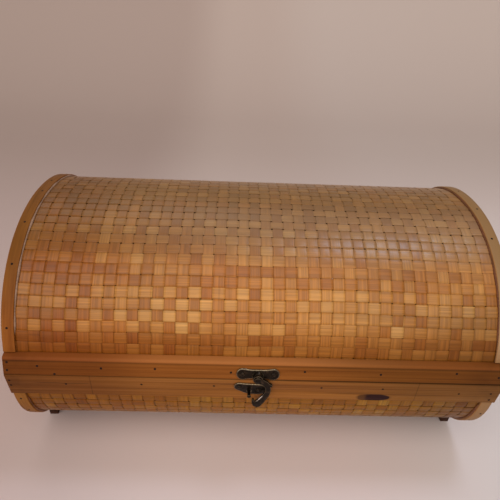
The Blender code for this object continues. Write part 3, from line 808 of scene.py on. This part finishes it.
def base_tone(_index):
    """The base's strips are all about alike."""
    return random_source.uniform(0.36, 0.52)


def make_mats(finish):
    for prefix, first_row in (("lid", LID_FIRST_ROW), ("base", BASE_FIRST_ROW)):
        section = half_section(prefix, -MAT_SINK)
        row_tones, rib_tones = (row_tone, rib_tone) if prefix == "lid" else (base_tone, base_tone)
        rows = weave_strips(f"{prefix}_weave_rows", section, first_row, row_tones, finish, prefix, True)
        ribs = weave_strips(f"{prefix}_weave_ribs", section, first_row, rib_tones, finish, prefix, False)
        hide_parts(f"{prefix}_woven_panel")
        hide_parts(f"{prefix}_woven_panel")


# Brads, glue and screws

BRAD_RADIUS = 0.00098
BRAD_RISE = 0.00022
BRAD_INSET = 0.0044
BRAD_STRAY = 0.0011

# Brads along the rails, by x and by height over the parting
LID_RAIL_BRADS = (
    (-0.1965, 0.0108), (-0.1968, 0.0041), (-0.1732, 0.0081), (-0.1602, 0.0015), (-0.1236, 0.0072),
    (-0.0814, 0.0077), (-0.0215, 0.0061), (0.0372, 0.0080), (0.0982, 0.0070), (0.1593, 0.0092),
    (0.1939, 0.0064),
)
BASE_RAIL_BRADS = (
    (-0.1974, -0.0072), (-0.1976, -0.0133), (-0.1533, -0.0104), (-0.0930, -0.0090), (-0.0349, -0.0090),
    (0.0522, -0.0086), (0.1024, -0.0086), (0.1664, -0.0129), (0.1928, -0.0120), (0.1941, -0.0204),
)

# Brads round the front half of each band, by arc length from the parting
BAND_BRADS = {
    "lid_left": (0.0364, 0.0856, 0.1249, 0.1706),
    "lid_right": (0.0395, 0.0830, 0.1217, 0.1621),
    "base_left": (0.0336, 0.0563, 0.1100, 0.1580),
    "base_right": (0.0443, 0.0659, 0.1130, 0.1600),
}


def node_tree(node):
    mesh = nodes[node].data
    return BVHTree.FromPolygons([v.co for v in mesh.vertices], [p.vertices for p in mesh.polygons])


def add_brad(builder, tree, origin, direction):
    """A low round head where the line meets the wood."""
    place, normal, _, _ = tree.ray_cast(Vector(origin), Vector(direction))
    turn = normal.to_track_quat("Z", "Y").to_matrix().to_4x4()
    flat = Matrix.Diagonal((1.0, 1.0, BRAD_RISE / BRAD_RADIUS, 1.0))
    seat = Matrix.Translation(place) @ turn @ flat
    bmesh.ops.create_uvsphere(builder, u_segments=12, v_segments=6, radius=BRAD_RADIUS, matrix=seat)


def rail_brads(prefix, spots, material):
    """Brads along the front rail where the photograph shows them, and the same along the back rail."""
    builder = bmesh.new()
    for side, way in (("front", -1), ("back", 1)):
        tree = node_tree(f"{prefix}_{side}_rail")
        for x, height in spots:
            add_brad(builder, tree, (x * -way, way * 2 * HALF_DEPTH, PARTING + height), (0, -way, 0))
    new_piece(f"{prefix}_rail_brads", builder, material, prefix)


def band_brads(prefix, material):
    """Brads round the front of both bands as the photograph shows them, and the same at the back."""
    builder = bmesh.new()
    section = half_section(prefix, 0.0)
    for end, way in (("left", -1), ("right", 1)):
        tree = node_tree(f"{prefix}_edge_band_{end}")
        front = BAND_BRADS[f"{prefix}_{end}"]
        for arc in front + tuple(section.length - arc for arc in front):
            x = way * (END_X - BRAD_INSET + random_source.uniform(-BRAD_STRAY, BRAD_STRAY))
            outside, inside = section.places(np.array([x, x]), np.array([arc, arc]), np.array([0.02, -0.01]))
            add_brad(builder, tree, outside, Vector(inside - outside).normalized())
    new_piece(f"{prefix}_band_brads", builder, material, prefix)


GLUE_STEPS = 150
GLUE_SIDES = 8
GLUE_START = 0.030
GLUE_TAPER = 40


def glue_bead(name, prefix, end_way, fullness, material):
    """An uneven bead of glue between a band's inner edge and the weave; a dark bead is dried glue and painted
    shade of the gap at once.
    """
    section = half_section(prefix, 0.0)
    builder = bmesh.new()
    verts = bmesh.ops.create_grid(builder, x_segments=GLUE_STEPS, y_segments=GLUE_SIDES, size=0.5)["verts"]
    corners = np.array([vert.co for vert in verts])
    share = corners[:, 0] + 0.5
    turn = corners[:, 1] * 2 * math.pi
    phase = random_source.random() * PHASE_SPAN
    swell = 0.72 + 0.16 * np.sin(37 * share + phase) + 0.12 * np.sin(91 * share + 2 * phase)
    radius = fullness * swell * np.minimum(1.0, GLUE_TAPER * np.minimum(share, 1 - share))
    arcs = GLUE_START + (section.length - 2 * GLUE_START) * share
    x = end_way * (BAND_INSIDE - 0.3 * radius) + 1.1 * radius * np.cos(turn)
    places = section.places(x, arcs, radius * (np.sin(turn) + 0.5)).tolist()
    for vert, place in zip(verts, places):
        vert.co = place
    bmesh.ops.remove_doubles(builder, verts=builder.verts, dist=1e-6)
    bmesh.ops.recalc_face_normals(builder, faces=builder.faces)
    new_piece(name, builder, material, prefix)


SLOT_HALF_WIDTH = 0.00024
SLOT_WALL = 0.00002
SLOT_DEPTH = 0.00035
SLOT_DOME_SHARE = 0.75


def slotted_screw(node, material):
    """A screw with a slot cut across its domed head."""
    builder = merged_copy(node)
    verts = list(builder.verts)
    tip, top = max(
        ((a, b) for a in verts for b in verts), key=lambda pair: (pair[0].co - pair[1].co).length,
    )
    axis = (top.co - tip.co).normalized()
    spread = {}
    for vert in verts:
        rise = (vert.co - tip.co).dot(axis)
        spread[vert] = (vert.co - tip.co - axis * rise).length
    widest = max(verts, key=lambda vert: spread[vert])
    if (widest.co - tip.co).dot(axis) < (top.co - widest.co).dot(axis):
        top = tip
        axis = -axis
    shoulder = (widest.co - top.co).dot(axis)
    top_place = top.co.copy()
    side = axis.orthogonal().normalized()
    side.rotate(Matrix.Rotation(random_source.uniform(0, math.pi), 3, axis))
    outer = SLOT_HALF_WIDTH + SLOT_WALL
    for distance in (-outer, -SLOT_HALF_WIDTH, SLOT_HALF_WIDTH, outer):
        bmesh.ops.bisect_plane(
            builder, geom=builder.verts[:] + builder.edges[:] + builder.faces[:], dist=1e-7,
            plane_co=top_place + side * distance, plane_no=side,
        )
    for vert in builder.verts:
        rise = (vert.co - top_place).dot(axis)
        in_slot = abs((vert.co - top_place).dot(side)) < SLOT_HALF_WIDTH + SLOT_WALL / 2
        if in_slot and rise > SLOT_DOME_SHARE * shoulder:
            vert.co -= axis * SLOT_DEPTH
    builder.faces.layers.float.new("rim")
    return stand_in(node, "bronze", builder, material)


# Stage, light and camera

FLOOR_HALF_WIDTH = 9.0
FLOOR_FRONT = -9.0
FLOOR_BACK = 1.1
FLOOR_BEND = 1.3
BACKDROP_RISE = 2.0
CLOTH_NEAR = (0.835, 0.680, 0.635, 1.0)
CLOTH_FAR_SHADE = (0.440, 0.341, 0.294, 1.0)
CLOTH_RIGHT_LIGHT = (0.700, 0.680, 0.655, 1.0)
CLOTH_LEFT_SHADE = (0.74, 0.69, 0.68)


def cloth_finish():
    """Pale pinkish cloth, with painted cool light at the right and painted shade at the left and towards the
    back.
    """
    f = Finish("pale pinkish cloth")
    x, y, _ = f.split(f.object_place())
    # Painted shade towards the back, painted cool light at the right and painted shade at the left.
    colour = f.blend(f.fade_in(y, -0.3, 0.9), CLOTH_NEAR, CLOTH_FAR_SHADE)
    near = f.fade_in(y, -1.6, -0.5)
    right = f.product(near, f.remap(x, 0.05, 0.35, 0.0, 0.80), f.remap(y, -0.2, 0.6, 1.0, 0.12))
    colour = f.blend(right, colour, CLOTH_RIGHT_LIGHT)
    left = f.product(near, f.fade_in(x, -0.05, -0.27), f.remap(y, 0.2, 1.4, 1.0, 0.6))
    colour = f.tint(left, colour, CLOTH_LEFT_SHADE)
    f.set("Base Color", colour)
    f.set("Roughness", 0.9)
    return f.material


def make_stage():
    """A pale cloth floor that bends up into a backdrop."""
    builder = bmesh.new()
    middle = Matrix.Translation((0, (FLOOR_FRONT + FLOOR_BACK) / 2, 0))
    bmesh.ops.create_grid(builder, x_segments=1, y_segments=1, size=1.0)
    half_size = (FLOOR_HALF_WIDTH, (FLOOR_BACK - FLOOR_FRONT) / 2, 1.0)
    bmesh.ops.scale(builder, verts=builder.verts, vec=half_size)
    bmesh.ops.transform(builder, verts=builder.verts, matrix=middle)
    back = [e for e in builder.edges if all(v.co.y > FLOOR_BACK - 0.01 for v in e.verts)]
    bmesh.ops.spin(
        builder, geom=back, cent=(0, FLOOR_BACK, FLOOR_BEND), axis=(1, 0, 0), dvec=(0, 0, 0),
        angle=math.radians(90), steps=24, use_merge=False, use_duplicate=False,
    )
    top = [e for e in builder.edges if all(v.co.z > FLOOR_BEND - 0.01 for v in e.verts)]
    rise = bmesh.ops.extrude_edge_only(builder, edges=top)
    raised = [v for v in rise["geom"] if isinstance(v, bmesh.types.BMVert)]
    bmesh.ops.translate(builder, verts=raised, vec=(0, 0, BACKDROP_RISE))
    bmesh.ops.remove_doubles(builder, verts=builder.verts, dist=1e-4)
    mesh = bpy.data.meshes.new("floor and backdrop")
    builder.to_mesh(mesh)
    builder.free()
    mesh.shade_smooth()
    mesh.materials.append(cloth_finish())
    floor = bpy.data.objects.new("floor", mesh)
    bpy.context.scene.collection.objects.link(floor)


def add_light(kind, name, place, energy, colour, **settings):
    """A lamp that points at the middle of the trunk."""
    light = bpy.data.lights.new(name, kind)
    light.energy = energy
    light.color = colour
    for key, value in settings.items():
        setattr(light, key, value)
    lamp = bpy.data.objects.new(name, light)
    lamp.location = place
    lamp.rotation_euler = (Vector((0, 0, PARTING)) - Vector(place)).to_track_quat("-Z", "Y").to_euler()
    bpy.context.scene.collection.objects.link(lamp)


def make_lights():
    add_light("SUN", "key light", (-0.20, -1.0, 0.82), 2.3, (1.0, 0.97, 0.93), angle=math.radians(80))
    add_light("AREA", "top light", (0.53, 0.065, 1.73), 5.8, (0.66, 0.78, 1.0), size=0.4)
    add_light("AREA", "back light", (-0.50, 1.00, 1.50), 3.0, (1.0, 0.96, 0.93), size=1.0)


ROOM_COLOUR = (1.0, 0.95, 0.93, 1.0)
ROOM_STRENGTH = 0.24
BEYOND_COLOUR = (0.40, 0.33, 0.30, 1.0)


def make_world():
    """Soft light from all round; what is seen beyond the floor's edge has the backdrop's colour."""
    world = bpy.data.worlds.new("soft room light")
    bpy.context.scene.world = world
    world.use_nodes = True
    tree = world.node_tree
    room = tree.nodes["Background"]
    room.inputs["Color"].default_value = ROOM_COLOUR
    room.inputs["Strength"].default_value = ROOM_STRENGTH
    beyond = tree.nodes.new("ShaderNodeBackground")
    beyond.inputs["Color"].default_value = BEYOND_COLOUR
    path = tree.nodes.new("ShaderNodeLightPath")
    seen = path.outputs["Is Camera Ray"]
    for ray in ("Is Glossy Ray", "Is Transmission Ray"):
        either = tree.nodes.new("ShaderNodeMath")
        either.operation = "MAXIMUM"
        tree.links.new(seen, either.inputs[0])
        tree.links.new(path.outputs[ray], either.inputs[1])
        seen = either.outputs[0]
    mix = tree.nodes.new("ShaderNodeMixShader")
    tree.links.new(seen, mix.inputs[0])
    tree.links.new(room.outputs[0], mix.inputs[1])
    tree.links.new(beyond.outputs[0], mix.inputs[2])
    tree.links.new(mix.outputs[0], tree.nodes["World Output"].inputs["Surface"])


def make_camera():
    data = bpy.data.cameras.new("camera")
    data.sensor_width = SENSOR
    data.lens = LENS
    data.clip_start = 0.01
    camera = bpy.data.objects.new("camera", data)
    turn = Matrix.Rotation(-CAMERA_YAW, 4, "Z") @ Matrix.Rotation(math.pi / 2 - CAMERA_PITCH, 4, "X")
    camera.matrix_world = Matrix.Translation(CAMERA_PLACE) @ turn @ Matrix.Rotation(CAMERA_ROLL, 4, "Z")
    bpy.context.scene.collection.objects.link(camera)
    bpy.context.scene.camera = camera


# Assembly

# Each wood's pale, middle and dark tone
LID_RAIL_TONES = (0.282, 0.092, 0.016), (0.224, 0.069, 0.011), (0.153, 0.043, 0.006)
BASE_RAIL_TONES = (0.330, 0.128, 0.028), (0.266, 0.098, 0.020), (0.182, 0.062, 0.012)
BAND_TONES = (0.285, 0.094, 0.016), (0.228, 0.068, 0.011), (0.156, 0.043, 0.007)
BOARD_TONES = (0.400, 0.178, 0.052), (0.315, 0.122, 0.032), (0.230, 0.080, 0.019)
FOOT_TONES = (0.070, 0.026, 0.013), (0.045, 0.017, 0.009), (0.026, 0.010, 0.006)


def dress_wood():
    lid_rail_wood = wood_finish("lid rail wood", *LID_RAIL_TONES, "X", lid_rail_marks)
    base_rail_wood = wood_finish("base rail wood", *BASE_RAIL_TONES, "X", base_rail_marks)
    band_wood = wood_finish("bent band wood", *BAND_TONES, "AROUND", band_tone_and_sheen)
    board_wood = wood_finish("end board wood", *BOARD_TONES, "Y")
    foot_wood = wood_finish("dark foot wood", *FOOT_TONES, "X")
    for prefix, rail_wood in (("lid", lid_rail_wood), ("base", base_rail_wood)):
        for side in ("front", "back"):
            worked_copy(f"{prefix}_{side}_rail", "wood", rail_wood, RAIL_EDGE)
        for end in ("left", "right"):
            worked_copy(f"{prefix}_edge_band_{end}", "wood", band_wood, BAND_EDGE)
            worked_copy(f"{prefix}_end_board_{end}", "wood", board_wood, BOARD_EDGE)
    for depth in ("front", "back"):
        for end in ("left", "right"):
            worked_copy(f"foot_{depth}_{end}", "wood", foot_wood, FOOT_EDGE)


def dress_metal():
    bronze = bronze_finish("darkened bronze", 0.9, 0.40, 0.26)
    hook_bronze_with_glint = bronze_finish("hook bronze with a painted glint", 0.9, 0.40, 0.26, crook_painted_glint)
    black = bronze_finish("blackened bronze", 0.3, 0.60, 0.45)
    for node, piece in nodes.items():
        if piece.hide_render or node.endswith("woven_panel"):
            continue
        if "_screw" in node:
            slotted_screw(node, bronze)
        elif node in ("latch_plate", "catch_plate"):
            pressed_copy(node, bronze)
        elif node == "latch_hook":
            pressed_copy(node, hook_bronze_with_glint, 0.5)
        elif node in ("latch_rivet", "catch_post"):
            worked_copy(node, "bronze", black, METAL_EDGE)
        else:
            worked_copy(node, "bronze", bronze, METAL_EDGE)


def add_trim():
    brad = trim_finish("dark brad heads", (0.014, 0.005, 0.003), 0.7)
    rail_brads("lid", LID_RAIL_BRADS, brad)
    rail_brads("base", BASE_RAIL_BRADS, brad)
    band_brads("lid", brad)
    band_brads("base", brad)
    pale_glue = trim_finish("pale dried glue", (0.350, 0.200, 0.125), 0.55)
    # The dark beads are dried glue and painted shade of the gap by the bands together.
    dark_glue_and_shade = trim_finish("dark glue and gap shade", (0.170, 0.056, 0.022), 0.45)
    glue_bead("lid_glue_left", "lid", -1, 0.00120, pale_glue)
    glue_bead("lid_glue_and_shade_right", "lid", 1, 0.00100, dark_glue_and_shade)
    glue_bead("base_glue_and_shade_left", "base", -1, 0.00120, dark_glue_and_shade)
    glue_bead("base_glue_and_shade_right", "base", 1, 0.00120, dark_glue_and_shade)


def main():
    make_camera()
    make_stage()
    make_lights()
    make_world()
    bpy.context.scene.view_settings.view_transform = "Standard"
    make_mats(bamboo_finish())
    dress_wood()
    dress_metal()
    add_trim()


main()
